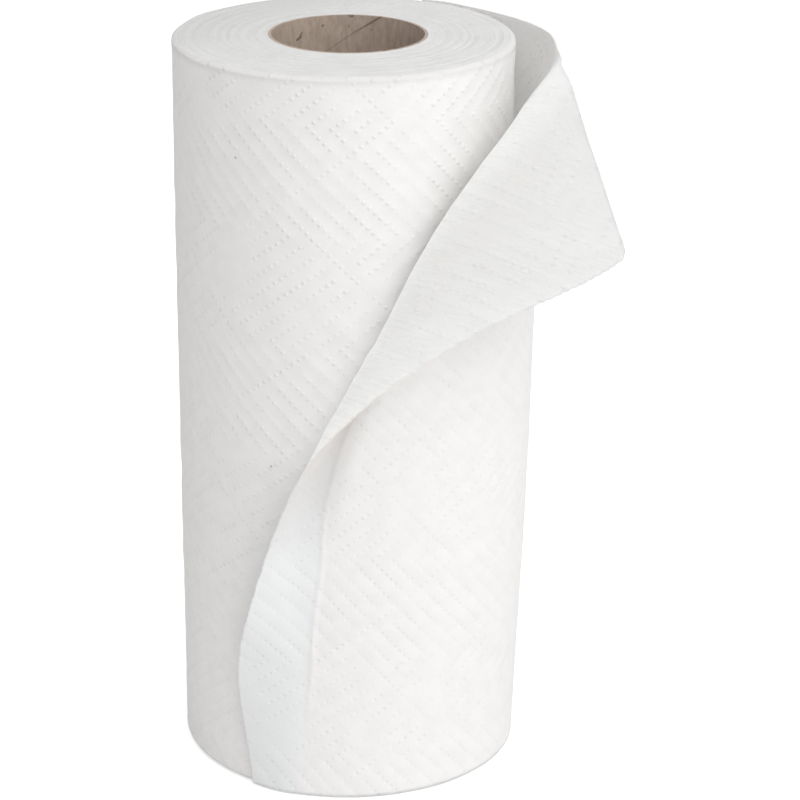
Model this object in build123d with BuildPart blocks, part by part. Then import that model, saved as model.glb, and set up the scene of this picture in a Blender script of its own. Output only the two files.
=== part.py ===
"""Paper towel roll: a spiral wound cardboard core and the paper wound round it.

The paper is one web. Its last turn has come loose, stands off the roll at the right,
and its top corner is folded back over itself. All sizes are in millimetres.
The roll stands on its end, its axis is Z, and the front of the object faces -Y.
"""

import math
import os

from build123d import *

os.makedirs("parts", exist_ok=True)

# The roll stands 225 high and 101 across, the size of a common kitchen roll.
ROLL_HEIGHT = 225.0
ROLL_RADIUS = 50.4

# The core is a card tube whose bore takes the bar or post of a towel holder. Its axis
# is Z, and the paper is wound a hair thicker on its left side than on its right.
BORE_RADIUS = 22.5
CARD_THICKNESS = 0.8
CORE_RADIUS = BORE_RADIUS + CARD_THICKNESS

# The paper is wound on the card, with a sliver of air so the two stay two pieces.
WINDING_CLEARANCE = 0.05
WOUND_BORE_RADIUS = CORE_RADIUS + WINDING_CLEARANCE
WINDING_SHIFT = 1.2
INNER_RADIUS = WOUND_BORE_RADIUS - 2 * WINDING_SHIFT

# The card strip is wound as a spiral, and its edges leave a narrow seam in the bore.
SEAM_PITCH = 92.0
SEAM_TOP_ANGLE = 65.0
SEAM_WIDTH = 0.6
SEAM_DEPTH = 0.3
SEAM_OVERRUN = 3.0

# The turns show on both ends as rings, each a band of many turns of thin paper.
RING_COUNT = 7
RING_PITCH = (ROLL_RADIUS - WOUND_BORE_RADIUS) / RING_COUNT
GROOVE_WIDTH = 0.8
GROOVE_DEPTH = 0.45

# The outer edge of each end is soft from handling.
EDGE_SOFTNESS = 1.6

# The loose last turn is one sheet of two-ply towel.
SHEET_THICKNESS = 0.5
SHEET_CLEARANCE = 0.35

# Angles round the roll are degrees from the front, and grow towards the right.
SHEET_ROOT_ANGLE = 151.0
SHEET_LEAVES_ANGLE = 144.0
SLACK_STARTS_ANGLE = 137.0
SLACK_FULL_ANGLE = 67.0
SLACK_FADES_ANGLE = 75.0
SLACK_ENDS_ANGLE = -10.0
ROOT_DEPTH = 1.2

# The sheet's shape at seven equal heights, from the foot of the roll to its top.
# Where the sheet lifts off the wrap, in degrees round the roll.
LIFT_ANGLE = [-14.0, -12.0, -7.0, -2.0, 16.0, 36.0, 69.0]
# How far the slack turn stands off the roll at its right side.
STAND_OFF = [3.0, 4.5, 6.0, 7.0, 7.5, 8.0, 13.0]
# What share of that stand-off is left at the front.
FRONT_SHARE = [0.1, 0.1, 0.1, 0.1, 0.12, 0.22, 0.42]
# The slope of the fold line in the flat sheet, where 90 is straight up.
FOLD_SLOPE = [90.0, 85.0, 79.0, 71.0, 62.0, 55.0, 43.0]
# The radius of the fold, and how many degrees the sheet turns round it.
FOLD_RADIUS = [20.0, 20.0, 19.0, 8.0, 6.0, 4.5, 5.0]
FOLD_TURN = [3.0, 7.0, 35.0, 80.0, 120.0, 139.0, 141.0]
# The curl left in the flap after the fold, as degrees for each 100 mm.
FLAP_CURL = [-180.0, -60.0, -10.0, 0.0, -8.0, -14.0, 6.0]
# The length of loose sheet from the lift-off line to its free edge.
FLAP_LENGTH = [17.0, 21.5, 20.5, 16.0, 25.0, 42.0, 68.0]

# The sheet is cut a hair shorter than the roll, so its edges sit inside the two ends.
SHEET_INSET = 0.15

# The sheet's free top corner is blunt from handling.
CORNER_SOFTNESS = 2.0

# The sheet is drawn as a net of flat facets, with this many lines of corners.
ROWS = 23
WRAP_COLUMNS = 18
FLAP_COLUMNS = 20


def soft_step(x):
    """Rises from 0 to 1 as x goes from 0 to 1, with level ends."""
    x = min(max(x, 0.0), 1.0)
    return x * x * (3 - 2 * x)


def at_height(values, height):
    """A smooth curve through values spaced evenly up the roll, read at a height."""
    last = len(values) - 1
    place = min(max(height / ROLL_HEIGHT * last, 0.0), float(last))
    i = min(int(place), last - 1)
    t = place - i
    b, c = values[i], values[i + 1]
    a = values[i - 1] if i > 0 else 2 * b - c
    d = values[i + 2] if i + 2 <= last else 2 * c - b
    bend = t * (3 * (b - c) + d - a)
    return b + 0.5 * t * ((c - a) + t * ((2 * a - 5 * b + 4 * c - d) + bend))


def wrap_radius(angle, height):
    """The distance from the axis to the middle of the sheet where it is wrapped."""
    slack = at_height(STAND_OFF, height)
    share = at_height(FRONT_SHARE, height)
    rise = soft_step((SLACK_STARTS_ANGLE - angle) / (SLACK_STARTS_ANGLE - SLACK_FULL_ANGLE))
    fall = soft_step((SLACK_FADES_ANGLE - angle) / (SLACK_FADES_ANGLE - SLACK_ENDS_ANGLE))
    rest = ROLL_RADIUS + SHEET_CLEARANCE + SHEET_THICKNESS / 2
    root = (angle - SHEET_LEAVES_ANGLE) / (SHEET_ROOT_ANGLE - SHEET_LEAVES_ANGLE)
    sink = (ROOT_DEPTH + SHEET_CLEARANCE) * min(max(root, 0.0), 1.0)
    return rest - sink + slack * rise * (1 - (1 - share) * fall)


def wrap_point(angle, height):
    """A point on the middle of the sheet where it is wrapped round the roll."""
    radius = wrap_radius(angle, height)
    turn = math.radians(angle)
    return Vector(radius * math.sin(turn) - WINDING_SHIFT, -radius * math.cos(turn), height)


def flap_point(length, height):
    """A point on the loose sheet, at a length past the lift-off line."""
    lift = at_height(LIFT_ANGLE, height)
    start = wrap_point(lift, height)
    along = (wrap_point(lift - 0.5, height) - wrap_point(lift + 0.5, height)).normalized()
    up = Vector(0, 0, 1)
    out = up.cross(along)
    if out.dot(Vector(start.X + WINDING_SHIFT, start.Y, 0)) < 0:
        out = out * -1
    slope = math.radians(at_height(FOLD_SLOPE, height))
    radius = at_height(FOLD_RADIUS, height)
    turn = math.radians(at_height(FOLD_TURN, height))
    curl = math.radians(at_height(FLAP_CURL, height)) / 100
    fold_line = up * math.sin(slope) - along * math.cos(slope)
    across = up * math.cos(slope) + along * math.sin(slope)
    travel = length * math.sin(slope)
    bend = min(travel, radius * turn)
    ahead = radius * math.sin(bend / radius)
    lifted = radius * (1 - math.cos(bend / radius))
    rest = travel - bend
    half = curl * rest / 2
    chord = rest * (math.sin(half) / half if abs(half) > 1e-9 else 1.0)
    ahead += chord * math.cos(turn + half)
    lifted += chord * math.sin(turn + half)
    slide = -length * math.cos(slope)
    return start + fold_line * slide + across * ahead + out * lifted


def sheet_point(step, height):
    """A point on the middle of the whole sheet, by its column in the drawn grid."""
    if step <= WRAP_COLUMNS:
        lift = at_height(LIFT_ANGLE, height)
        share = step / WRAP_COLUMNS
        return wrap_point(SHEET_ROOT_ANGLE + (lift - SHEET_ROOT_ANGLE) * share, height)
    share = (step - WRAP_COLUMNS) / FLAP_COLUMNS
    near_top = height - (ROLL_HEIGHT - SHEET_INSET - CORNER_SOFTNESS)
    return flap_point(at_height(FLAP_LENGTH, height) * share**1.5 - max(near_top, 0) * share**8, height)


def sheet_normal(step, height):
    """The direction square to the sheet, pointing away from the roll where it is wrapped."""
    columns = WRAP_COLUMNS + FLAP_COLUMNS
    before, after = max(step - 0.05, 0.0), min(step + 0.05, float(columns))
    below, above = max(height - 0.5, 0.0), min(height + 0.5, ROLL_HEIGHT)
    across = sheet_point(after, height) - sheet_point(before, height)
    upward = sheet_point(step, above) - sheet_point(step, below)
    return upward.cross(across).normalized() * -1


def side_points(offset):
    """The corners of the facets on one side of the sheet, row by row up the roll."""
    foot, top = SHEET_INSET, ROLL_HEIGHT - SHEET_INSET
    heights = [foot + (top - foot) * row / (ROWS - 1) for row in range(ROWS)]
    heights.insert(-1, top - CORNER_SOFTNESS)
    rows = []
    for height in heights:
        rows.append([
            sheet_point(step, height) + sheet_normal(step, height) * offset
            for step in range(WRAP_COLUMNS + FLAP_COLUMNS + 1)
        ])
    return rows


def strip(first, second):
    """A band of flat facets between two lines of points."""
    facets = []
    for a, b, c, d in zip(first, first[1:], second[1:], second):
        facets.append(Face(Wire.make_polygon([a, b, c])))
        facets.append(Face(Wire.make_polygon([a, c, d])))
    return facets


def sheet_solid():
    """The whole loose sheet: both of its sides and the thin cut edge all round."""
    outer = side_points(SHEET_THICKNESS / 2)
    inner = side_points(-SHEET_THICKNESS / 2)
    facets = []
    for side in (outer, inner):
        for lower, upper in zip(side, side[1:]):
            facets += strip(lower, upper)
    facets += strip(outer[0], inner[0])
    facets += strip(outer[-1], inner[-1])
    for end in (0, -1):
        facets += strip([row[end] for row in outer], [row[end] for row in inner])
    return Solid(Shell(facets))


# The core: a plain card tube as long as the roll.
with BuildPart() as core_tube:
    with BuildSketch(Plane.XY):
        Circle(CORE_RADIUS)
        Circle(BORE_RADIUS, mode=Mode.SUBTRACT)
    extrude(amount=ROLL_HEIGHT)

    # The spiral seam runs down the bore like a left-hand thread and out at both ends.
    seam_length = ROLL_HEIGHT + 2 * SEAM_OVERRUN
    seam_turn = SEAM_TOP_ANGLE + 360 * (ROLL_HEIGHT + SEAM_OVERRUN) / SEAM_PITCH
    seam_plane = Plane.XY.offset(-SEAM_OVERRUN).rotated((0, 0, seam_turn))
    with BuildLine(seam_plane) as seam_path:
        Helix(SEAM_PITCH, seam_length, BORE_RADIUS, lefthand=True)
    seam_start = seam_path.line @ 0
    section_plane = Plane(
        origin=seam_start,
        x_dir=(seam_start.X, seam_start.Y, 0),
        z_dir=seam_path.line % 0,
    )
    with BuildSketch(section_plane):
        Rectangle(2 * SEAM_DEPTH, SEAM_WIDTH)
    sweep(path=seam_path.line, is_frenet=True, mode=Mode.SUBTRACT)

core_tube.part.label = "core_tube"
export_step(core_tube.part, "parts/core_tube.step")


# The paper: the tight turns, then the loose last turn that grows out of them.
half_section = Plane(origin=(-WINDING_SHIFT, 0, 0), x_dir=(1, 0, 0), z_dir=(0, -1, 0))
with BuildPart() as towel_roll:
    with BuildSketch(half_section):
        # Half of the tight roll's section, with a soft outer edge at each end.
        with BuildLine():
            Polyline(
                (INNER_RADIUS, 0),
                (ROLL_RADIUS - EDGE_SOFTNESS, 0),
                (ROLL_RADIUS - EDGE_SOFTNESS / 3, EDGE_SOFTNESS / 3),
                (ROLL_RADIUS, EDGE_SOFTNESS),
                (ROLL_RADIUS, ROLL_HEIGHT - EDGE_SOFTNESS),
                (ROLL_RADIUS - EDGE_SOFTNESS / 3, ROLL_HEIGHT - EDGE_SOFTNESS / 3),
                (ROLL_RADIUS - EDGE_SOFTNESS, ROLL_HEIGHT),
                (INNER_RADIUS, ROLL_HEIGHT),
                close=True,
            )
        make_face()
        # The grooves between the bands of turns, on the top and on the foot.
        grooves = [
            (WOUND_BORE_RADIUS + RING_PITCH * ring, end)
            for ring in range(1, RING_COUNT)
            for end in (0, ROLL_HEIGHT)
        ]
        with Locations(*grooves):
            Polygon(
                (-GROOVE_WIDTH / 2, 0),
                (0, -GROOVE_DEPTH),
                (GROOVE_WIDTH / 2, 0),
                (0, GROOVE_DEPTH),
                align=None,
                mode=Mode.SUBTRACT,
            )
    revolve(axis=Axis((-WINDING_SHIFT, 0, 0), (0, 0, 1)))

    # The bore that the core fills.
    with BuildSketch(Plane.XY):
        Circle(WOUND_BORE_RADIUS)
    extrude(amount=ROLL_HEIGHT, mode=Mode.SUBTRACT)
    add(sheet_solid())

towel_roll.part.label = "towel_roll"
export_step(towel_roll.part, "parts/towel_roll.step")
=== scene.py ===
# %% [markdown]
# # A paper towel roll with its loose sheet folded back
#
# This lesson dresses a finished CAD part in Blender. The part is a roll of white
# kitchen towel that stands on its end. Its last sheet has come away from the roll, and
# the top corner of that sheet is folded back over itself. The CAD part gives the sizes
# and the place of everything, and the lesson adds what makes paper look like paper.
#
# The pieces are the cardboard core, which is kept as it is, the tight turns of paper,
# and the loose sheet. The last two are built here as fine meshes in place of the CAD
# solid, because tissue has soft waves and an embossed pattern.

# %% Load the part and keep its box
import math

import bmesh
import bpy
import numpy as np
from mathutils import Matrix, Vector


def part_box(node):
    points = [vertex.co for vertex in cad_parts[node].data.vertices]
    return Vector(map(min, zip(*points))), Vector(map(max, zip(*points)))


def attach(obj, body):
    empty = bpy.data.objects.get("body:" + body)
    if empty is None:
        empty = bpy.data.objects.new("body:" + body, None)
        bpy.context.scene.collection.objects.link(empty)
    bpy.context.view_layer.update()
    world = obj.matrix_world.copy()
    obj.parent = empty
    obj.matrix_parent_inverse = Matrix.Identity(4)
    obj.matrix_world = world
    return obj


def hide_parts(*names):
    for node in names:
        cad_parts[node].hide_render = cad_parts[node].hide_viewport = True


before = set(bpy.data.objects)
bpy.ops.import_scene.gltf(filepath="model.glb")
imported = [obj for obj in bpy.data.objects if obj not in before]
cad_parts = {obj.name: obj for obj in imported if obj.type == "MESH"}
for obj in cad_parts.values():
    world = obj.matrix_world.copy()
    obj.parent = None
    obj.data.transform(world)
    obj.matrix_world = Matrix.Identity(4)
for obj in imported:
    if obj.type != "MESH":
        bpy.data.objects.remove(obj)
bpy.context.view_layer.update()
print("nodes:", sorted(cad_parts))

# %% [markdown]
# One helper puts new objects in the scene.


def into_scene(name, data):
    """A new object that shows this data, linked into the scene."""
    thing = bpy.data.objects.new(name, data)
    bpy.context.scene.collection.objects.link(thing)
    return thing


# %% [markdown]
# ## The measures of the roll
#
# The height and the two radii are read from the CAD nodes, so the paper made here always
# fits the part. The paper node also holds the loose sheet, so its box is wider than the
# tight turns are. Its far left side is bare roll, though, and that gives the radius. The
# paper is wound a hair thicker on the left, so its own axis lies beside the core's.

# %% Read the sizes from the part
_, card_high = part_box("core_tube")
paper_low, paper_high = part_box("towel_roll")
MM = 0.001
ROLL_HEIGHT = paper_high.z / MM
WINDING_SHIFT = 1.2
BORE_GAP = 0.05
ROLL_RADIUS = -paper_low.x / MM - WINDING_SHIFT
CORE_RADIUS = card_high.x / MM
WOUND_BORE_RADIUS = CORE_RADIUS + BORE_GAP
print(f"height {ROLL_HEIGHT:.1f} mm, radius {ROLL_RADIUS:.2f} mm, core {CORE_RADIUS:.2f} mm")

# %% [markdown]
# ## The shape of the loose sheet
#
# Paper bends but hardly stretches. A sheet of it can be described by where it leaves the
# roll, the direction of its fold line, the radius of that fold, how far it turns, how the
# flap curls after it, and how much loose sheet is left beyond the line. Two more values say
# how slack the sheet is at the right side, and how much of that slack is left in front.
# All of these change slowly up the roll, so each is given at seven heights, and a smooth
# curve is drawn through the values. Lengths are in millimetres and angles in degrees.

# %% The sheet's values at seven heights
SHEET_THICKNESS = 0.5
SHEET_CLEARANCE = 0.35
SHEET_ROOT_ANGLE = 151.0
SHEET_LEAVES_ANGLE = 144.0
SLACK_STARTS_ANGLE = 137.0
SLACK_FULL_ANGLE = 67.0
SLACK_FADES_ANGLE = 75.0
SLACK_ENDS_ANGLE = -10.0
ROOT_DEPTH = 1.2
SHEET_INSET = 0.15
LIFT_ANGLE = [-14.0, -12.0, -7.0, -2.0, 16.0, 36.0, 69.0]
STAND_OFF = [3.0, 4.5, 6.0, 7.0, 7.5, 8.0, 13.0]
FRONT_SHARE = [0.1, 0.1, 0.1, 0.1, 0.12, 0.22, 0.42]
FOLD_SLOPE = [90.0, 85.0, 79.0, 71.0, 62.0, 55.0, 43.0]
FOLD_RADIUS = [20.0, 20.0, 19.0, 8.0, 6.0, 4.5, 5.0]
FOLD_TURN = [3.0, 7.0, 35.0, 80.0, 120.0, 139.0, 141.0]
FLAP_CURL = [-180.0, -60.0, -10.0, 0.0, -8.0, -14.0, 6.0]
FLAP_LENGTH = [17.0, 21.5, 20.5, 16.0, 25.0, 42.0, 68.0]


def at_height(values, height):
    """A smooth curve through values spaced evenly up the roll, read at each height."""
    values = np.asarray(values, float)
    last = len(values) - 1
    place = np.clip(np.asarray(height, float) / ROLL_HEIGHT * last, 0, last)
    i = np.minimum(place.astype(int), last - 1)
    t = place - i
    before, after = 2 * values[0] - values[1], 2 * values[-1] - values[-2]
    ends = np.concatenate([[before], values, [after]])
    a, b, c, d = ends[i], ends[i + 1], ends[i + 2], ends[i + 3]
    bend = t * (3 * (b - c) + d - a)
    return b + 0.5 * t * ((c - a) + t * ((2 * a - 5 * b + 4 * c - d) + bend))


print("the sheet lifts off at", at_height(LIFT_ANGLE, [0, 100, 200]).round(1), "degrees")

# %% [markdown]
# The first half of the sheet follows the roll as a slack turn. Its gap to the roll grows
# from nothing at the back to several millimetres at the right side, and narrows again
# towards the front. Angles are measured round the roll from the front,
# and grow towards the right.

# %% The part of the sheet that follows the roll
def soft_step(x):
    """Rises from 0 to 1 as x goes from 0 to 1, with level ends."""
    x = np.clip(x, 0.0, 1.0)
    return x * x * (3 - 2 * x)


def wrap_radius(angle, height):
    """The distance from the axis to the middle of the sheet where it is wrapped."""
    slack = at_height(STAND_OFF, height)
    share = at_height(FRONT_SHARE, height)
    rise = soft_step((SLACK_STARTS_ANGLE - angle) / (SLACK_STARTS_ANGLE - SLACK_FULL_ANGLE))
    fall = soft_step((SLACK_FADES_ANGLE - angle) / (SLACK_FADES_ANGLE - SLACK_ENDS_ANGLE))
    rest = ROLL_RADIUS + SHEET_CLEARANCE + SHEET_THICKNESS / 2
    root = (angle - SHEET_LEAVES_ANGLE) / (SHEET_ROOT_ANGLE - SHEET_LEAVES_ANGLE)
    sink = (ROOT_DEPTH + SHEET_CLEARANCE) * np.clip(root, 0.0, 1.0)
    return rest - sink + slack * rise * (1 - (1 - share) * fall)


def wrap_point(angle, height):
    """Points on the middle of the sheet where it is wrapped round the roll."""
    radius = wrap_radius(angle, height)
    turn = np.radians(angle)
    x, y = radius * np.sin(turn) - WINDING_SHIFT, -radius * np.cos(turn)
    return np.stack([x, y, height + 0 * turn], -1)


right_radius = float(wrap_radius(60.0, 112.0))
print("slack at the right, half way up:", round(right_radius - ROLL_RADIUS, 2), "mm")

# %% [markdown]
# The second half is the flap. Past the lift-off line the sheet rolls round a fold line
# that leans over to the right, like a page being turned. The distance along the sheet is
# split into a part along the fold line, which stays as it is, and a part square to it,
# which bends round the fold's radius and then runs on straight.

# %% The part of the sheet that is folded back
HALF_STEP = 0.5
NEAR_TOP = 224.0


def unit(v):
    """Vectors of length one."""
    return v / np.maximum(np.linalg.norm(v, axis=-1, keepdims=True), 1e-12)


def flap_point(length, height):
    """Points on the loose sheet, at a length past the lift-off line."""
    lift = at_height(LIFT_ANGLE, height)
    start = wrap_point(lift, height)
    along = unit(wrap_point(lift - HALF_STEP, height) - wrap_point(lift + HALF_STEP, height))
    up = np.zeros_like(along)
    up[..., 2] = 1.0
    out = np.cross(up, along)
    from_axis = (start + [WINDING_SHIFT, 0, 0]) * [1, 1, 0]
    out *= np.sign((out * from_axis).sum(-1, keepdims=True))
    slope = np.radians(at_height(FOLD_SLOPE, height))
    radius = at_height(FOLD_RADIUS, height)
    turn = np.radians(at_height(FOLD_TURN, height))
    curl = np.radians(at_height(FLAP_CURL, height)) / 100
    sine, cosine = np.sin(slope)[..., None], np.cos(slope)[..., None]
    travel = length * np.sin(slope)
    bend = np.minimum(travel, radius * turn)
    rest = travel - bend
    half = curl * rest / 2
    chord = rest * np.sinc(half / np.pi)
    ahead = radius * np.sin(bend / radius) + chord * np.cos(turn + half)
    lifted = radius * (1 - np.cos(bend / radius)) + chord * np.sin(turn + half)
    fold_line, across = up * sine - along * cosine, up * cosine + along * sine
    slide = (-length * np.cos(slope))[..., None]
    return start + fold_line * slide + across * ahead[..., None] + out * lifted[..., None]


corner = flap_point(np.array([at_height(FLAP_LENGTH, NEAR_TOP)]), np.array([NEAR_TOP]))[0]
print("the sheet's free top corner is at", corner.round(1), "mm")

# %% [markdown]
# ## Small waves
#
# Tissue never lies perfectly even. A sum of sine waves that run in random directions
# makes gentle bumps of one size. The directions come from a seeded generator, so the
# bumps fall in the same places each time the script runs.

# %% A field of gentle waves
def waves(points, length, seed, count=14):
    """Gentle random waves of about one length in millimetres, mostly from -1 to 1."""
    rng = np.random.default_rng(seed)
    total = np.zeros(points.shape[:-1])
    for _ in range(count):
        direction = rng.normal(size=3)
        direction /= np.linalg.norm(direction)
        stretch = rng.uniform(0.75, 1.35)
        phase = rng.uniform(0, 2 * math.pi)
        total += np.sin(points @ direction * (2 * math.pi * stretch / length) + phase)
    return total / math.sqrt(2 * count)


print("a sample of the waves:", waves(np.eye(3) * 20, 15.0, 1).round(2))

# %% [markdown]
# ## From grids of points to a mesh
#
# Every surface here is a grid of points, so one small class gathers grids into a mesh.
# Each grid brings its flat coordinates, which say where a point lay when the paper was
# still a flat sheet. They are stored in a UV map in millimetres, and the embossing is
# drawn in them later. Points that fall on each other are welded, which joins the grids
# into one skin, and the edges that are still open after that are counted and printed.

# %% The class that gathers grids
WELD_DISTANCE = 2e-6
NOT_LOOSE = -200.0


class Skin:
    """Gathers grids of points, in millimetres, into one mesh in metres."""

    def __init__(self):
        self.points, self.faces, self.flats = [], [], []
        self.slots, self.loose, self.count = [], [], 0

    def add(self, points, flat, slot, flip=False, loose=None):
        """Adds one grid: its points, flat coordinates, material slot and loose length."""
        rows, columns = points.shape[:2]
        index = np.arange(rows * columns).reshape(rows, columns) + self.count
        quads = [index[:-1, :-1], index[:-1, 1:], index[1:, 1:], index[1:, :-1]]
        quads = np.stack(quads[::-1] if flip else quads, -1).reshape(-1, 4)
        self.points.append(points.reshape(-1, 3))
        self.flats.append(flat.reshape(-1, 2))
        tight = np.full(rows * columns, NOT_LOOSE)
        self.loose.append(tight if loose is None else loose.reshape(-1))
        self.faces.append(quads)
        self.slots.append(np.full(len(quads), slot))
        self.count += rows * columns

    def build(self, name, materials):
        """Makes the object, welds its seams and shades it smooth."""
        mesh = bpy.data.meshes.new(name)
        points, faces = np.concatenate(self.points), np.concatenate(self.faces)
        mesh.from_pydata((points * MM).tolist(), [], faces.tolist())
        layer = mesh.uv_layers.new(name="flat")
        flat = np.concatenate(self.flats)[faces.reshape(-1)]
        layer.data.foreach_set("uv", flat.astype(np.float32).reshape(-1))
        slots = np.concatenate(self.slots).astype(np.int32)
        mesh.polygons.foreach_set("material_index", slots)
        for material in materials:
            mesh.materials.append(material)
        loose = mesh.attributes.new("past_lift", "FLOAT", "POINT")
        loose.data.foreach_set("value", np.concatenate(self.loose).astype(np.float32))
        work = bmesh.new()
        work.from_mesh(mesh)
        bmesh.ops.remove_doubles(work, verts=work.verts, dist=WELD_DISTANCE)
        for face in work.faces:
            face.smooth = True
        open_edges = sum(1 for edge in work.edges if len(edge.link_faces) != 2)
        work.to_mesh(mesh)
        work.free()
        triangles = sum(len(face.vertices) - 2 for face in mesh.polygons)
        print(f"{name}: {triangles} triangles, {open_edges} open edges")
        return into_scene(name, mesh)


print("points closer than", WELD_DISTANCE / MM, "mm are welded")

# %% [markdown]
# ## Formulas as shader nodes
#
# Blender's shader nodes can do arithmetic one step at a time. The helper below lets a
# formula be written in Python and lays down one Math node for each step, so the pattern
# can be read as mathematics and still runs inside the material.

# %% The helper for node formulas
def write(node, values):
    """Writes plain values into a node's named sockets."""
    for name, value in values.items():
        node.inputs[name].default_value = value


class Sums:
    """Writes arithmetic as Math nodes in one node tree."""

    def __init__(self, tree):
        self.tree, self.made = tree, 0

    def node(self, kind, **settings):
        """A new node of a kind, placed beside the ones before it."""
        new = self.tree.nodes.new(kind)
        new.location = (180 * (self.made % 14) - 2600, -190 * (self.made // 14))
        self.made += 1
        for key, value in settings.items():
            setattr(new, key, value)
        return new

    def put(self, socket, value):
        """Links a socket to a value, or writes the value into it."""
        if isinstance(value, bpy.types.NodeSocket):
            self.tree.links.new(value, socket)
        else:
            socket.default_value = value

    def do(self, operation, *values):
        """The result of one Math node."""
        new = self.node("ShaderNodeMath", operation=operation)
        for socket, value in zip(new.inputs, values):
            self.put(socket, value)
        return new.outputs[0]

    def add(self, a, b):
        return self.do("ADD", a, b)

    def less(self, a, b):
        return self.do("SUBTRACT", a, b)

    def times(self, a, b):
        return self.do("MULTIPLY", a, b)

    def ramp(self, value, low, high, start=0.0, end=1.0):
        """Goes smoothly from start to end while value goes from low to high."""
        new = self.node("ShaderNodeMapRange", interpolation_type="SMOOTHSTEP")
        ends = {"From Min": low, "From Max": high, "To Min": start, "To Max": end}
        for key, number in ends.items():
            self.put(new.inputs[key], number)
        self.put(new.inputs["Value"], value)
        return new.outputs["Result"]

    def total(self, *parts):
        """A sum of sockets, each times a factor of its own."""
        result = self.times(*parts[0])
        for socket, factor in parts[1:]:
            result = self.add(result, self.times(socket, factor))
        return result

    def split(self, vector):
        """The three parts of a vector."""
        new = self.node("ShaderNodeSeparateXYZ")
        self.put(new.inputs[0], vector)
        return new.outputs[0], new.outputs[1], new.outputs[2]

    def bump(self, height):
        """The normal of a surface whose height is given in metres."""
        new = self.node("ShaderNodeBump")
        write(new, {"Strength": 1.0, "Distance": 1.0})
        self.put(new.inputs["Height"], height)
        return new.outputs["Normal"]

    def noise(self, vector, scale, detail=2.0, roughness=0.5):
        """Blender's noise, from 0 to 1 round a middle of one half."""
        new = self.node("ShaderNodeTexNoise")
        self.put(new.inputs["Vector"], vector)
        write(new, {"Scale": scale, "Detail": detail, "Roughness": roughness})
        return new.outputs["Fac"]

    def mix(self, factor, first, second):
        """A blend of two colours."""
        new = self.node("ShaderNodeMix", data_type="RGBA")
        self.put(new.inputs[0], factor)
        self.put(new.inputs[6], first)
        self.put(new.inputs[7], second)
        return new.outputs[2]


print("node formulas can use", [name for name in vars(Sums) if not name.startswith("_")])

# %% [markdown]
# Two small functions go with it. One makes a colour for a socket, if need be a darker
# one, and the other makes a new material with an empty formula.

# %% A colour and a new material
def rgba(colour, share=1.0):
    """A colour for a socket, dimmed to a share of itself."""
    return (*[share * channel for channel in colour], 1.0)


def new_material(name):
    """A node material, its formula helper and its shader."""
    material = bpy.data.materials.new(name)
    material.use_nodes = True
    tree = material.node_tree
    shader = tree.nodes["Principled BSDF"]
    shader.location = (400, 300)
    tree.nodes["Material Output"].location = (760, 300)
    return material, Sums(tree), shader


print("nine tenths of white is", rgba((1.0, 1.0, 1.0), 0.9))

# %% [markdown]
# ## The embossed pattern
#
# The towel is embossed with dots. They sit on a slightly skewed lattice, and only every
# second row of it is filled, so the eye sees dotted lines. The lines run up to the right
# in one band and down to the right in the next, which makes nested chevrons. Here and
# there a single long line crosses a band, with a clear row each side of it. Between the
# dotted lines the paper puffs up into soft pillows.
#
# The formula finds the nearest lattice place for a point of the flat sheet, asks whether
# that place carries a dot, and measures the distance to it.

# %% The formula for dots and pillows
DOT_STEP = 2.26
RISE_ANGLE = math.radians(37.0)
FALL_ANGLE = math.radians(44.5)
BAND_TOP = 211.0
BAND_HEIGHT = 33.0
LONG_LINE_EVERY = 18.0
DOT_EDGE = 0.36
DOT_MIDDLE = 0.06
DOTTED_LINE_GAP = 2 * DOT_STEP * math.sin(RISE_ANGLE + FALL_ANGLE)


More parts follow.
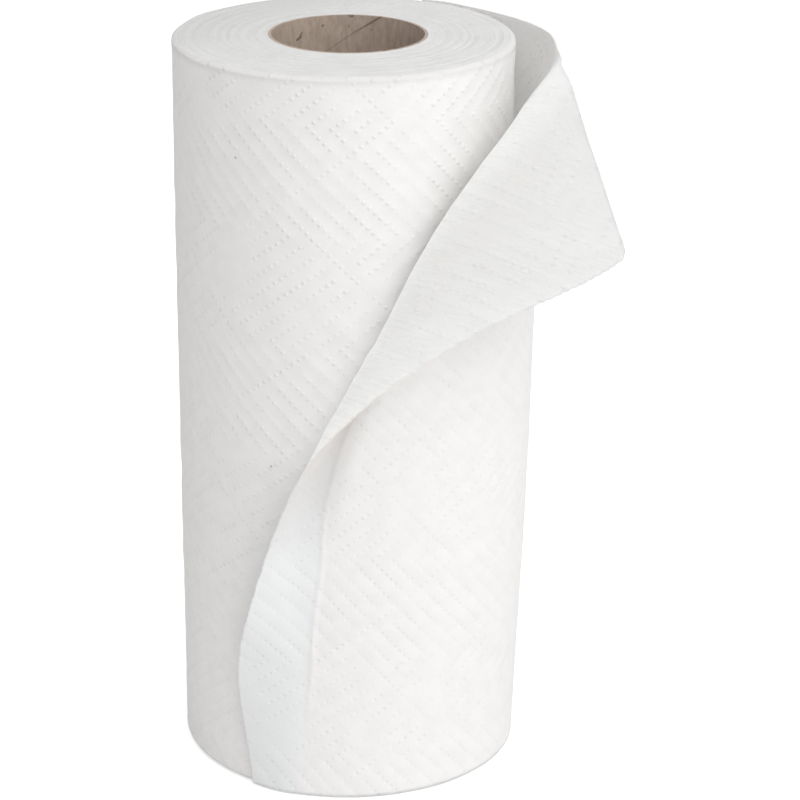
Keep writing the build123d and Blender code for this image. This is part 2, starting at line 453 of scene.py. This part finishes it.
def embossing(sums):
    """The flat coordinates, and from them the dots and the pillows, both 0 to 1."""
    flat = sums.node("ShaderNodeUVMap", uv_map="flat").outputs[0]
    u, v, _ = sums.split(flat)
    pitch = DOT_STEP * math.sin(RISE_ANGLE + FALL_ANGLE)
    rise_u, rise_v = math.cos(RISE_ANGLE), math.sin(RISE_ANGLE)
    fall_u, fall_v = math.cos(FALL_ANGLE), math.sin(FALL_ANGLE)
    a = sums.add(sums.times(u, fall_v / pitch), sums.times(v, fall_u / pitch))
    b = sums.less(sums.times(u, rise_v / pitch), sums.times(v, rise_u / pitch))
    near_a, near_b = sums.do("ROUND", a), sums.do("ROUND", b)
    off_a, off_b = sums.less(a, near_a), sums.less(b, near_b)
    off_u = sums.add(sums.times(off_a, rise_u), sums.times(off_b, fall_u))
    off_v = sums.less(sums.times(off_a, rise_v), sums.times(off_b, fall_v))
    reach = sums.do("SQRT", sums.add(sums.times(off_u, off_u), sums.times(off_v, off_v)))
    disc = sums.ramp(reach, DOT_EDGE, DOT_MIDDLE)

    def band(height):
        """Positive where the lines rise to the right, and negative where they fall."""
        return sums.do("SINE", sums.times(sums.less(height, BAND_TOP), math.pi / BAND_HEIGHT))

    dot_v = sums.less(
        sums.times(near_a, DOT_STEP * rise_v), sums.times(near_b, DOT_STEP * fall_v)
    )
    falls = sums.do("LESS_THAN", band(dot_v), 0.0)
    swap = sums.times(falls, sums.less(near_a, near_b))
    line, cross = sums.add(near_b, swap), sums.less(near_a, swap)
    empty_row = sums.do("FLOORED_MODULO", line, 2.0)
    long_row = sums.do("FLOORED_MODULO", cross, LONG_LINE_EVERY)
    from_long = sums.do("MINIMUM", long_row, sums.less(LONG_LINE_EVERY, long_row))
    on_long = sums.do("LESS_THAN", from_long, 0.5)
    beside_long = sums.do("LESS_THAN", from_long, 1.5)
    plain_dot = sums.times(sums.less(1.0, empty_row), sums.less(1.0, beside_long))
    dots = sums.times(disc, sums.do("MAXIMUM", on_long, plain_dot))
    rising_pillows = sums.ramp(sums.do("PINGPONG", b, 1.0), 0.1, 0.9)
    falling_pillows = sums.ramp(sums.do("PINGPONG", a, 1.0), 0.1, 0.9)
    rising = sums.ramp(band(v), -0.25, 0.25)
    pillows = sums.add(
        sums.times(rising, rising_pillows),
        sums.times(sums.less(1.0, rising), falling_pillows),
    )
    return flat, dots, pillows


print("dotted lines are", round(DOTTED_LINE_GAP, 2), "mm apart")

# %% [markdown]
# ## The paper material
#
# White tissue is a mat of soft fibres. The outer side shows the embossing as dents, and
# the reverse shows it the other way up, with faint slanting streaks of creping, which is
# how tissue comes off its drying roller. Fine noise gives the fibres, and broader noise
# crumples the surface a little. Every height in the bump is in real metres.

# %% The surface of the paper
DOTS_FADE = (0.34, 0.62, 0.25, 1.15)
CREPING_ANGLE = math.radians(128.0)
CREPING_LENGTH = 7.0
CREPING_HEIGHT = 0.44
CRUMPLE_SHARE = 1.5


def creping(sums, flat):
    """Noise drawn out along one direction of the sheet."""
    along = sums.node("ShaderNodeMapping", vector_type="TEXTURE")
    sums.put(along.inputs["Vector"], flat)
    write(along, {"Rotation": (0.0, 0.0, CREPING_ANGLE), "Scale": (CREPING_LENGTH, 1.0, 1.0)})
    return sums.noise(along.outputs[0], 1.0, 3.0, 0.6)


def paper_height(sums, flat, fibres, dots, pillows, dot_depth, pillow_height, grain):
    """The height of the surface in metres, from depths in millimetres."""
    crumple = sums.noise(flat, 0.42, 3.0, 0.5)
    parts = [
        (dots, -dot_depth * MM),
        (pillows, pillow_height * MM),
        (fibres, grain * MM),
        (crumple, CRUMPLE_SHARE * grain * MM),
    ]
    if dot_depth < 0:
        parts.append((creping(sums, flat), CREPING_HEIGHT * MM))
    return sums.total(*parts)


print("creping streaks are", CREPING_HEIGHT, "mm high on the reverse")

# %% [markdown]
# Paper is nearly white. Broad noise gives the cloudy look of the sheet, and the dots are a
# trace darker than the rest. The cut rims of the roll are a little darker: partly frayed
# paper, and partly painted shade that tones down the highlight on the soft rounded rim. Two
# faint specks are fibres of another colour. Past the line where it lifts off, the loose sheet
# is a cooler white on both sides.

# %% The colour of the paper
FLAP_WHITE = (0.885, 0.90, 0.925)
STRIP_WHITE = (0.925, 0.931, 0.936)
SPECK_BROWN = (0.45, 0.36, 0.28)
CLOUD_SHARE = 0.972
PIT_SHARE = 0.90
FRAYED_AND_SHADED_SHARE = 0.83


def frayed_and_shaded_rims(sums, tone, colour, up, fibres):
    """Darkens the rims at the top and the foot of the roll: frayed paper, and painted shade
    over the highlight of the rounded rim.
    """
    ragged = sums.add(up, sums.times(fibres, 1.6))
    top_rim = sums.ramp(ragged, ROLL_HEIGHT - 2.8, ROLL_HEIGHT + 0.2)
    foot_rim = sums.ramp(ragged, 2.8, 0.4)
    return sums.mix(sums.do("MAXIMUM", top_rim, foot_rim), tone, rgba(colour, FRAYED_AND_SHADED_SHARE))


def speck_tone(sums, tone, flat, speck):
    """Draws one faint speck, given by its place on the flat sheet and its size."""
    place_u, place_v, size = speck
    apart = sums.node("ShaderNodeVectorMath", operation="DISTANCE")
    sums.put(apart.inputs[0], flat)
    apart.inputs[1].default_value = (place_u, place_v, 0.0)
    mark = sums.ramp(apart.outputs["Value"], size, 0.4 * size, 0.0, 0.75)
    return sums.mix(mark, tone, rgba(SPECK_BROWN))


def paper_tone(sums, flat, dots, colour):
    """The cloudy white of the sheet, with its dots a trace darker."""
    clouds = sums.noise(flat, 0.16, 3.0, 0.55)
    cloudy = sums.ramp(clouds, 0.35, 0.65)
    tone = sums.mix(cloudy, rgba(colour, CLOUD_SHARE), rgba(colour))
    return sums.mix(sums.times(dots, 0.05), tone, rgba(colour, PIT_SHARE))


print("the rims keep", FRAYED_AND_SHADED_SHARE, "of the paper's brightness")

# %% [markdown]
# Tissue is very rough, and the tight turns let a little light into themselves, which fills
# small shadows. They look a touch creamier than the single sheet, because light that
# sinks in between them comes back warmer. The loose sheet is thin and lets light through
# where it hangs free and towards its top, but hardly at all lower down, where it lies on
# the roll. Its reverse has a cooler glow.

# %% Make the paper for both sides of the sheet
WHITE = (0.955, 0.945, 0.935)
ROLL_WHITE = (0.90, 0.889, 0.877)
# The reverse of the wrapped sheet is a darker white: painted shade for the narrow gap between
# the sheet and the roll, where that side shows.
GAP_PAINTED_SHADE = (0.83, 0.815, 0.80)
WARM_GLOW = (1.0, 0.948, 0.90)
COOL_GLOW = (0.935, 0.975, 1.0)
SPECKS = ((-33.0, 199.0, 0.5), (-22.0, 107.0, 0.5))
EVEN_RADIUS = (1.0, 1.0, 1.0)


def let_light_through(material, sums, shader, normal, free_length, up, thin, glow):
    """Mixes in light from behind, most where the sheet hangs free."""
    through = sums.node("ShaderNodeBsdfTranslucent")
    write(through, {"Color": rgba(glow)})
    sums.put(through.inputs["Normal"], normal)
    hanging = sums.ramp(free_length, -8.0, 8.0, 0.04, thin)
    hanging = sums.times(hanging, sums.ramp(up, 75.0, 130.0, 0.1, 1.0))
    standing_off = sums.ramp(up, 140.0, 200.0, 0.04, 0.46)
    both = sums.node("ShaderNodeMixShader")
    sums.put(both.inputs[0], sums.do("MAXIMUM", hanging, standing_off))
    sums.put(both.inputs[1], shader.outputs[0])
    sums.put(both.inputs[2], through.outputs[0])
    output = material.node_tree.nodes["Material Output"]
    sums.put(output.inputs["Surface"], both.outputs[0])


def paper(name, colour, relief, thin=0.0, specks=(), rims=False, glow=WHITE):
    """Embossed tissue. Its relief is dot depth, pillow height and grain in millimetres."""
    material, sums, shader = new_material(name)
    flat, dots, pillows = embossing(sums)
    fibres = sums.noise(flat, 1.9, 4.0, 0.6)
    dots = sums.times(dots, sums.ramp(sums.noise(flat, 0.075, 2.0, 0.5), *DOTS_FADE))
    normal = sums.bump(paper_height(sums, flat, fibres, dots, pillows, *relief))
    tone = paper_tone(sums, flat, dots, colour)
    _, up, _ = sums.split(flat)
    if rims:
        tone = frayed_and_shaded_rims(sums, tone, colour, up, fibres)
    for speck in specks:
        tone = speck_tone(sums, tone, flat, speck)
    if thin > 0:
        past_lift = sums.node("ShaderNodeAttribute", attribute_name="past_lift")
        free_length = past_lift.outputs["Fac"]
        free_white = FLAP_WHITE if relief[0] < 0 else STRIP_WHITE
        tone = sums.mix(sums.ramp(free_length, -1.0, 3.0), tone, rgba(free_white))
        let_light_through(material, sums, shader, normal, free_length, up, thin, glow)
    sums.put(shader.inputs["Base Color"], tone)
    sums.put(shader.inputs["Normal"], normal)
    sums.put(shader.inputs["Roughness"], sums.ramp(fibres, 0.3, 0.7, 0.86, 0.96))
    write(shader, {"IOR": 1.35, "Specular IOR Level": 0.2})
    write(shader, {"Sheen Weight": 0.12, "Sheen Roughness": 0.6})
    write(shader, {"Subsurface Weight": 0.12 if thin == 0 else 0.0})
    write(shader, {"Subsurface Radius": EVEN_RADIUS, "Subsurface Scale": 0.0015})
    return material


roll_paper = paper("paper_roll", ROLL_WHITE, (0.17, 0.07, 0.03), specks=SPECKS, rims=True)
outer_paper = paper("paper_outer", WHITE, (0.13, 0.06, 0.03), thin=0.88, glow=WARM_GLOW)
# The reverse takes the painted gap shade as its colour.
inner_paper = paper("paper_inner", GAP_PAINTED_SHADE, (-0.20, -0.09, 0.10), thin=0.78, glow=COOL_GLOW)
print("nodes in the paper of the outer side:", len(outer_paper.node_tree.nodes))

# %% [markdown]
# ## The ends of the roll
#
# Seen from its end, the roll is a spiral of thin paper. The turns are too fine to model
# one by one, so the material draws them. It follows the spiral with one number, the
# count of turns from the core, and asks noise along that number for the height of each
# edge. The result is irregular layers that run all the way round, with fibres and soft clouds
# over them. Painted shade darkens the end a little towards the back left.

# %% Make the paper for the ends
TURNS = 60
TURN_PITCH = (ROLL_RADIUS - WOUND_BORE_RADIUS) / TURNS
# The end's colour is set darker than the side's paper: painted shade for the hollows between
# the cut turns and for the end's dimmer light.
END_SHADED_WHITE = (0.75, 0.746, 0.74)


def end_paper(name, colour):
    """The cut edges of many turns, as layers that follow a spiral."""
    material, sums, shader = new_material(name)
    place = sums.node("ShaderNodeTexCoord").outputs["Object"]
    x, y, _ = sums.split(place)
    radius = sums.do("SQRT", sums.add(sums.times(x, x), sums.times(y, y)))
    turn = sums.times(sums.do("ARCTAN2", y, x), 1 / (2 * math.pi))
    count = sums.add(sums.times(radius, 1 / (TURN_PITCH * MM)), turn)
    count = sums.add(count, sums.times(sums.noise(place, 55.0, 2.0), 1.2))
    edges = sums.node("ShaderNodeTexNoise", noise_dimensions="1D")
    sums.put(edges.inputs["W"], count)
    write(edges, {"Scale": 0.55, "Detail": 3.0, "Roughness": 0.6})
    line = edges.outputs["Fac"]
    fuzz = sums.noise(place, 700.0, 3.0, 0.6)
    clouds = sums.noise(place, 110.0, 3.0, 0.6)
    height = sums.total((line, 0.15 * MM), (fuzz, 0.18 * MM), (clouds, 0.35 * MM))
    layers = sums.total((line, 0.4), (clouds, 0.35), (fuzz, 0.25))
    tone = sums.mix(sums.ramp(layers, 0.38, 0.60), rgba(colour, 0.92), rgba(colour))
    # Painted shade: the end grows darker towards the back left.
    painted_shade_back_left = sums.total((x, -1.0), (y, 0.8))
    tone = sums.mix(sums.ramp(painted_shade_back_left, 5.0 * MM, 60.0 * MM), tone, rgba(colour, 0.86))
    sums.put(shader.inputs["Base Color"], tone)
    sums.put(shader.inputs["Normal"], sums.bump(height))
    sums.put(shader.inputs["Roughness"], sums.ramp(fuzz, 0.3, 0.7, 0.88, 0.97))
    write(shader, {"Specular IOR Level": 0.15, "Sheen Weight": 0.1})
    write(shader, {"Subsurface Weight": 0.15})
    write(shader, {"Subsurface Radius": EVEN_RADIUS, "Subsurface Scale": 0.001})
    return material


ends_paper = end_paper("paper_ends", END_SHADED_WHITE)
print("one turn is", round(TURN_PITCH, 2), "mm thick")

# %% [markdown]
# ## The cardboard core
#
# The CAD tube already has the right shape, with the spiral seam in its bore, so only its
# material changes. Grey-brown board shows short fibres of several shades, darker specks
# from recycled pulp, and a paler cut edge at each end. The seam is a thin groove that
# holds some shadow, so a dark line follows it: the angle round the tube and the height
# give a number that is whole wherever the seam runs. A half is added to it, so that the
# seam lies in the middle of the number's fraction and not at its jump.

# %% Make the board and give it to the core
SEAM_PITCH = 92.0
SEAM_TOP_ANGLE = 65.0
SEAM_EDGE = 0.55
SEAM_MIDDLE = 0.12
DARK_FIBRE = (0.415, 0.33, 0.27)
PALE_FIBRE = (0.545, 0.45, 0.38)
PATCH_BROWN = (0.46, 0.38, 0.325)
PULP_SPECK = (0.12, 0.09, 0.07)
SEAM_SHADOW = (0.10, 0.075, 0.06)
CUT_EDGE = (0.50, 0.40, 0.34)


def seam_line(sums, x, y, z, patches):
    """How dark the seam is at a place: 0 away from it and most near the top."""
    turn = sums.times(sums.do("ARCTAN2", y, x), 1 / (2 * math.pi))
    drop = sums.times(sums.add(z, -ROLL_HEIGHT * MM), 1 / (SEAM_PITCH * MM))
    count = sums.add(sums.add(turn, 0.5 - SEAM_TOP_ANGLE / 360), drop)
    count = sums.add(count, sums.times(patches, 0.006))
    away = sums.do("ABSOLUTE", sums.add(sums.do("FRACT", count), -0.5))
    near_top = sums.ramp(z, (ROLL_HEIGHT - 7) * MM, (ROLL_HEIGHT - 2) * MM, 0.25, 0.65)
    groove = sums.ramp(away, SEAM_EDGE / SEAM_PITCH, SEAM_MIDDLE / SEAM_PITCH)
    return sums.times(groove, near_top)


def cut_edges(sums, z):
    """How pale the board is at a height: most at its two cut edges."""
    top = sums.ramp(z, (ROLL_HEIGHT - 0.35) * MM, (ROLL_HEIGHT - 0.05) * MM)
    foot = sums.ramp(z, 0.35 * MM, 0.05 * MM)
    return sums.times(sums.do("MAXIMUM", top, foot), 0.35)


def board(name):
    """Recycled board: fibres, specks, the seam and a pale cut edge at both ends."""
    material, sums, shader = new_material(name)
    place = sums.node("ShaderNodeTexCoord").outputs["Object"]
    stretch = sums.node("ShaderNodeMapping")
    sums.put(stretch.inputs["Vector"], place)
    write(stretch, {"Scale": (1.0, 1.0, 0.35)})
    fibres = sums.noise(stretch.outputs[0], 620.0, 5.0, 0.65)
    patches = sums.noise(place, 90.0, 3.0, 0.6)
    pulp = sums.noise(place, 330.0, 1.0, 0.4)
    tone = sums.mix(sums.ramp(fibres, 0.3, 0.7), rgba(DARK_FIBRE), rgba(PALE_FIBRE))
    tone = sums.mix(sums.ramp(patches, 0.4, 0.75, 0.0, 0.5), tone, rgba(PATCH_BROWN))
    tone = sums.mix(sums.ramp(pulp, 0.69, 0.74, 0.0, 0.7), tone, rgba(PULP_SPECK))
    x, y, z = sums.split(place)
    tone = sums.mix(seam_line(sums, x, y, z, patches), tone, rgba(SEAM_SHADOW))
    tone = sums.mix(cut_edges(sums, z), tone, rgba(CUT_EDGE))
    sums.put(shader.inputs["Base Color"], tone)
    sums.put(shader.inputs["Normal"], sums.bump(sums.times(fibres, 0.14 * MM)))
    sums.put(shader.inputs["Roughness"], sums.ramp(fibres, 0.3, 0.7, 0.78, 0.9))
    write(shader, {"Specular IOR Level": 0.25})
    return material


card = board("card_board")
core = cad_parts["core_tube"]
for slot in core.material_slots:
    slot.material = card
print("the core has", len(core.material_slots), "material slot")

# %% [markdown]
# ## The tight turns
#
# The wound roll is one skin: the long side, a soft rim at each end, the two ends
# and the wall of the bore. A profile that starts at the top of the bore, goes round the
# outside and comes back up the bore is drawn in a plane and turned about the axis. Then
# the points are moved a little. The side gets shallow waves. The top end gets low steps
# that follow the spiral, because bands of turns slide up or down against each other when
# a roll is handled. The steps don't meet where one turn ends and the next begins, which
# leaves the skin open along a hairline slit across the top end at the back. Its two sides
# differ in height by about a tenth of a millimetre at most.

# %% The profile of the wound roll
EDGE_SOFTNESS = 1.6
END_POINTS = 84
RIM_POINTS = 7
SIDE_POINTS = 146
BORE_POINTS = 9


def arc(centre_r, centre_z, radius, start, end):
    """Points of a circular arc in the plane of the profile."""
    turn = np.radians(np.linspace(start, end, RIM_POINTS))
    return np.stack([centre_r + radius * np.cos(turn), centre_z + radius * np.sin(turn)], -1)


def stretch_of(r, z):
    """Points of a straight stretch of the profile, where r or z is one number."""
    return np.stack([r + 0 * z, z + 0 * r], -1)


inner_r, outer_r, soft = WOUND_BORE_RADIUS, ROLL_RADIUS, EDGE_SOFTNESS
end_rings = np.linspace(inner_r, outer_r - soft, END_POINTS)
profile_parts = (
    (stretch_of(end_rings, ROLL_HEIGHT), 1),
    (arc(outer_r - soft, ROLL_HEIGHT - soft, soft, 90, 0), 0),
    (stretch_of(outer_r, np.linspace(ROLL_HEIGHT - soft, soft, SIDE_POINTS)), 0),
    (arc(outer_r - soft, soft, soft, 0, -90), 0),
    (stretch_of(end_rings[::-1], 0), 1),
    (stretch_of(inner_r, np.linspace(0, ROLL_HEIGHT, BORE_POINTS)), 1),
)
print("profile points:", sum(len(profile) for profile, _ in profile_parts))

# %% [markdown]
# Each stretch of the profile becomes one grid, with one column for each angle. The
# displacement is worked out for the whole roll in the same way, so that neighbouring
# grids still meet and can be welded.

# %% Turn the profile and add the waves
AROUND = 264
BAND_PITCH = 0.451
MEAN_DROP = 0.26
RIM_DEPTH = 3.0
END_DEPTH = 1.5
angles = np.linspace(-180.0, 180.0, AROUND + 1)


def turned(profile):
    """A grid of points: the profile in rows, the angles in columns."""
    turn = np.radians(angles)[None, :]
    r, z = profile[:, 0][:, None], profile[:, 1][:, None]
    return np.stack([r * np.sin(turn), -r * np.cos(turn), z + 0 * turn], -1)


def end_steps(points, r):
    """Low steps that follow the spiral on the top end of the roll."""
    turn = np.arctan2(points[..., 0], -points[..., 1]) / (2 * math.pi)
    count = (r - inner_r) / BAND_PITCH - turn
    steps = 0.10 * np.sin(count * 0.9 + 1.2 * np.sin(count * 0.23))
    steps = steps + 0.08 * np.sin(count * 0.37)
    return steps * (0.6 + 0.5 * waves(points, 21.0, 9))


def moved(points):
    """The same points with the small unevenness of a real roll."""
    height = points[..., 2]
    r = np.hypot(points[..., 0], points[..., 1])
    outward = points * [1, 1, 0] / np.maximum(r, 1e-9)[..., None]
    near_side = soft_step((r - outer_r + RIM_DEPTH) / RIM_DEPTH)
    loose = 0.16 * waves(points * [1, 1, 0.45], 34.0, 3) + 0.10 * waves(points, 13.0, 4)
    middle = soft_step(np.minimum(height, ROLL_HEIGHT - height) / 4.0)
    out = outward * (near_side * (loose - 0.12) * (0.35 + 0.65 * middle))[..., None]
    top = soft_step((height - ROLL_HEIGHT + END_DEPTH) / END_DEPTH)
    foot = soft_step((END_DEPTH - height) / END_DEPTH)
    rounding = MEAN_DROP * near_side * (1 + waves(points * [1, 1, 0], 24.0, 6))
    drop = (MEAN_DROP - end_steps(points, r)) * soft_step(r - inner_r) + rounding
    down = np.zeros_like(points)
    down[..., 2] = -top * np.maximum(drop, 0.02) + foot * 0.02
    sideways = np.zeros_like(points)
    across = np.clip((r - inner_r) / (outer_r - soft - inner_r), 0, 1)
    sideways[..., 0] = -WINDING_SHIFT * across
    return points + out + down + sideways


wound = Skin()
side_u = np.radians(angles)[None, :] * outer_r
for profile, slot in profile_parts:
    points = turned(profile)
    flat = np.stack([side_u + 0 * points[..., 2], points[..., 2]], -1)
    wound.add(moved(points), flat, slot)
wound_roll = wound.build("wound_roll", [roll_paper, ends_paper])

# %% [markdown]
# ## The loose sheet
#
# The sheet is drawn on a fine grid. Its rows run at equal heights. Its columns first go
# round the roll and then over the flap, and they crowd together at the lift-off line,
# where the paper bends most. The flat coordinates carry on without a break over the
# fold, so the embossing does too. The free edge is torn along a perforation, which
# leaves it very slightly toothed, and its top corner is blunt.

# %% Lay out the grid of the loose sheet
ROWS = 196
WRAP_COLUMNS = 84
FLAP_COLUMNS = 66
CORNER_SOFTNESS = 2.0
WRAP_CROWDING = 1.3
FLAP_CROWDING = 1.4
TOOTH_DEPTH = 0.13
EDGE_ONLY = 24
heights = SHEET_INSET + (ROLL_HEIGHT - 2 * SHEET_INSET) * np.linspace(0, 1, ROWS)
lift = at_height(LIFT_ANGLE, heights)
into_corner = np.maximum(heights - (ROLL_HEIGHT - SHEET_INSET - CORNER_SOFTNESS), 0)
flap_length = at_height(FLAP_LENGTH, heights)
middle_radius = wrap_radius((SHEET_ROOT_ANGLE + lift) / 2, heights)
wrap_length = np.radians(SHEET_ROOT_ANGLE - lift) * middle_radius
wrap_shares = 1 - (1 - np.linspace(0, 1, WRAP_COLUMNS + 1)) ** WRAP_CROWDING
flap_shares = np.linspace(0, 1, FLAP_COLUMNS + 1)[1:] ** FLAP_CROWDING
teeth = TOOTH_DEPTH * (-1.0) ** np.arange(ROWS)
tear = teeth * (1 + 0.6 * np.sin(heights * 1.9)) * soft_step(heights / 8)
corner_cut = CORNER_SOFTNESS - np.sqrt(CORNER_SOFTNESS**2 - into_corner**2)
wrap_angle = SHEET_ROOT_ANGLE + (lift[:, None] - SHEET_ROOT_ANGLE) * wrap_shares
flap_reach = flap_length[:, None] * flap_shares
flap_reach = flap_reach + (tear - corner_cut)[:, None] * flap_shares**EDGE_ONLY
on_roll = wrap_point(wrap_angle, heights[:, None] + 0 * wrap_angle)
on_flap = flap_point(flap_reach, heights[:, None] + 0 * flap_reach)
middle = np.concatenate([on_roll, on_flap], 1)
past_lift = np.concatenate([(wrap_shares - 1) * wrap_length[:, None], flap_reach], 1)
distance = past_lift + wrap_length[:, None]
up_grid = np.repeat(heights[:, None], middle.shape[1], 1)
sheet_length = wrap_length + flap_length
shortest, longest = sheet_length.min().round(1), sheet_length.max().round(1)
print("the sheet is", shortest, "to", longest, "mm long")

# %% [markdown]
# The two sides of the sheet lie half a thickness either side of its middle. Before they
# are made, the middle gets its own soft waves, a little stronger on the flap, because
# nothing holds it there. A narrow crease runs down the front, where the sheet was once
# bent sharply. At the very top the fold flares outwards a little, because there is no
# more paper above it to hold it, and the paper just behind it draws in. Both sides move
# together, as real paper does.

# %% Give the sheet its waves and its two sides
ON_ROLL = (100, 20)
CREASE_DEPTH = 0.34
CREASE_WIDTH = 0.8
FLARE_REACH = 3.1
DRAWN_IN = 0.9
FLARE_FOOT = 211.0
FLARE_HEIGHT = 14.0
ROOT_U = 150.0


def normals(grid):
    """Unit vectors square to a grid of points."""
    return unit(np.cross(np.gradient(grid, axis=1), np.gradient(grid, axis=0)))


facing = normals(middle)
if (facing[ON_ROLL] * middle[ON_ROLL]).sum() < 0:
    facing = -facing
free = soft_step(past_lift / 18.0)
near_root = soft_step(distance / 22.0)
ripple = (0.10 + 0.16 * free) * waves(middle, 22.0, 11)
ripple = ripple + (0.05 + 0.07 * free) * waves(middle, 9.0, 12)
crease_line = past_lift + 0.8 * np.sin(up_grid / 17.0) + 0.3 * np.sin(up_grid / 5.3)
creased = soft_step((up_grid - 22.0) / 20.0) * soft_step((146.0 - up_grid) / 14.0)
ripple = ripple + CREASE_DEPTH * creased * np.exp(-((crease_line / CREASE_WIDTH) ** 2))
middle = middle + facing * (ripple * near_root)[..., None]
fading = np.exp(-np.maximum(past_lift - 4.0, 0) / 11.0)
flare = FLARE_REACH * soft_step((past_lift + 7.0) / 12.0) * fading
flare = flare - DRAWN_IN * np.exp(-(((past_lift + 13.0) / 8.0) ** 2))
flare = flare * soft_step((up_grid - FLARE_FOOT) / FLARE_HEIGHT) ** 1.5
away = np.stack([np.sin(np.radians(lift)), -np.cos(np.radians(lift)), 0 * lift], -1)
middle = middle + away[:, None, :] * flare[..., None]
fresh = normals(middle)
facing = fresh * np.sign((fresh * facing).sum(-1, keepdims=True))
outside = middle + facing * SHEET_THICKNESS / 2
inside = middle - facing * SHEET_THICKNESS / 2
sheet_flat = np.stack([ROOT_U - distance, up_grid], -1)
print("ripples reach", round(float(np.abs(ripple).max()), 2), "mm")

# %% [markdown]
# The sides are joined along all four edges by a thin rim, so the sheet is a closed body like
# the real one.

# %% Build the loose sheet
sheet = Skin()
sheet.add(outside, sheet_flat, 0, flip=True, loose=past_lift)
sheet.add(inside, sheet_flat, 1, loose=past_lift)
FOOT_ROW, TOP_ROW = np.s_[0], np.s_[-1]
ROOT_EDGE, FREE_EDGE = np.s_[:, 0], np.s_[:, -1]
for first, second, edge in (
    (outside, inside, FOOT_ROW),
    (inside, outside, TOP_ROW),
    (inside, outside, ROOT_EDGE),
    (outside, inside, FREE_EDGE),
):
    rim_points = np.stack([first[edge], second[edge]])
    rim_flat = np.stack([sheet_flat[edge]] * 2)
    sheet.add(rim_points, rim_flat, 0, loose=np.stack([past_lift[edge]] * 2))
loose_sheet = sheet.build("loose_sheet", [outer_paper, inner_paper])

# %% [markdown]
# ## Tell the frame what the pieces are
#
# Both paper pieces ride on the part's one body and stand for the paper solid.

# %% Attach the pieces
for piece in (wound_roll, loose_sheet):
    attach(piece, "root")
    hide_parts("towel_roll")
print("both paper pieces ride on the root body")

# %% [markdown]
# ## Floor and light
#
# The roll stands on a plain floor. The picture should be white right up to the horizon,
# as paper on a light table would be, but a floor that shone on the roll would wash out
# its shape. So the floor glows only for rays that come straight from the camera, or by
# way of gloss or glass. The roll's own soft shadow stays.

# %% Make the floor
FLOOR_HALF = 4.0
FLOOR_DROP = 0.0004
FLOOR_GLOW = 0.46


def floor_material():
    """A plain white floor whose glow is seen but doesn't light anything."""
    material, sums, shader = new_material("floor_white")
    write(shader, {"Base Color": rgba((0.90, 0.90, 0.90)), "Roughness": 0.9})
    write(shader, {"Emission Color": rgba((1.0, 1.0, 1.0))})
    ray = sums.node("ShaderNodeLightPath")
    seen = sums.do("MAXIMUM", ray.outputs["Is Camera Ray"], ray.outputs["Is Glossy Ray"])
    seen = sums.do("MAXIMUM", seen, ray.outputs["Is Transmission Ray"])
    sums.put(shader.inputs["Emission Strength"], sums.times(seen, FLOOR_GLOW))
    return material


floor_mesh = bpy.data.meshes.new("floor")
corners = [(-1, -1), (1, -1), (1, 1), (-1, 1)]
places = [(x * FLOOR_HALF, y * FLOOR_HALF, -FLOOR_DROP) for x, y in corners]
floor_mesh.from_pydata(places, [], [(0, 1, 2, 3)])
floor_mesh.materials.append(floor_material())
floor = into_scene("floor", floor_mesh)
print("the floor is", 2 * FLOOR_HALF, "metres across")

# %% [markdown]
# White paper needs gentle light, mostly from one side, or its shape is lost. Much of the
# light here is an even white sky, which keeps the shadows pale. A large soft
# box high on the right gives the roll its form. One overhead lights the end, one high in
# front opens the shadow beside the folded corner, and two weak ones fill. An area light
# points along its own -Z axis. The helper turns each light to face the middle of the
# roll, so only its place, size and strength are chosen.

# %% Add the lights
ROLL_MIDDLE = Vector((0.0, 0.0, 0.11))
SKY_STRENGTH = 0.525
SOFTBOXES = (
    ("high_right_light", (0.9, -0.6, 1.2), 0.9, 6.2),
    ("overhead_light", (0.0, -0.2, 1.4), 1.0, 3.3),
    ("high_front_light", (0.3, -0.9, 1.2), 0.8, 2.9),
    ("low_right_light", (1.3, -0.25, 0.35), 1.0, 0.5),
    ("camera_light", (0.15, -0.95, 0.50), 0.7, 0.9),
)


def softbox(name, place, width, watts):
    """A square area light at a place, facing the middle of the roll."""
    data = bpy.data.lights.new(name, "AREA")
    data.size = width
    data.energy = watts
    lamp = into_scene(name, data)
    lamp.location = place
    towards = ROLL_MIDDLE - Vector(place)
    lamp.rotation_euler = towards.to_track_quat("-Z", "Y").to_euler()


for settings in SOFTBOXES:
    softbox(*settings)
world = bpy.data.worlds.new("studio")
world.use_nodes = True
background = world.node_tree.nodes["Background"]
write(background, {"Color": rgba((1.0, 1.0, 1.0)), "Strength": SKY_STRENGTH})
bpy.context.scene.world = world

# %% [markdown]
# ## The camera
#
# The photograph was taken from in front and above, at about 21 degrees, with a long
# lens. The camera starts facing the middle of the paper from that height. Two small turns
# about its own axes then place the roll a little to the left, as it is in the photograph.

# %% Place the camera
DISTANCE = 0.8368
ELEVATION = math.radians(21.45)
TURN_ANGLE = math.radians(-1.179)
TIP_ANGLE = math.radians(-0.174)
LENS_LENGTH = 122.5
aim_point = Vector((-WINDING_SHIFT * MM, 0.0, 0.1125))
back = Vector((0.0, -math.cos(ELEVATION), math.sin(ELEVATION)))
right = Vector((1.0, 0.0, 0.0))
upward = back.cross(right)
base = Matrix((right, upward, back)).transposed()
turn_right = Matrix.Rotation(TURN_ANGLE, 3, "Y")
tip_down = Matrix.Rotation(TIP_ANGLE, 3, "X")
lens = bpy.data.cameras.new("photo_camera")
lens.lens = LENS_LENGTH
lens.sensor_width = 36.0
lens.clip_start = 0.05
camera = into_scene("photo_camera", lens)
facing_roll = (base @ turn_right @ tip_down).to_4x4()
camera.matrix_world = Matrix.Translation(aim_point + back * DISTANCE) @ facing_roll
bpy.context.scene.camera = camera
bpy.context.scene.view_settings.view_transform = "Standard"
print("camera at", [round(x, 4) for x in camera.matrix_world.translation])

# %% [markdown]
# ## Finish
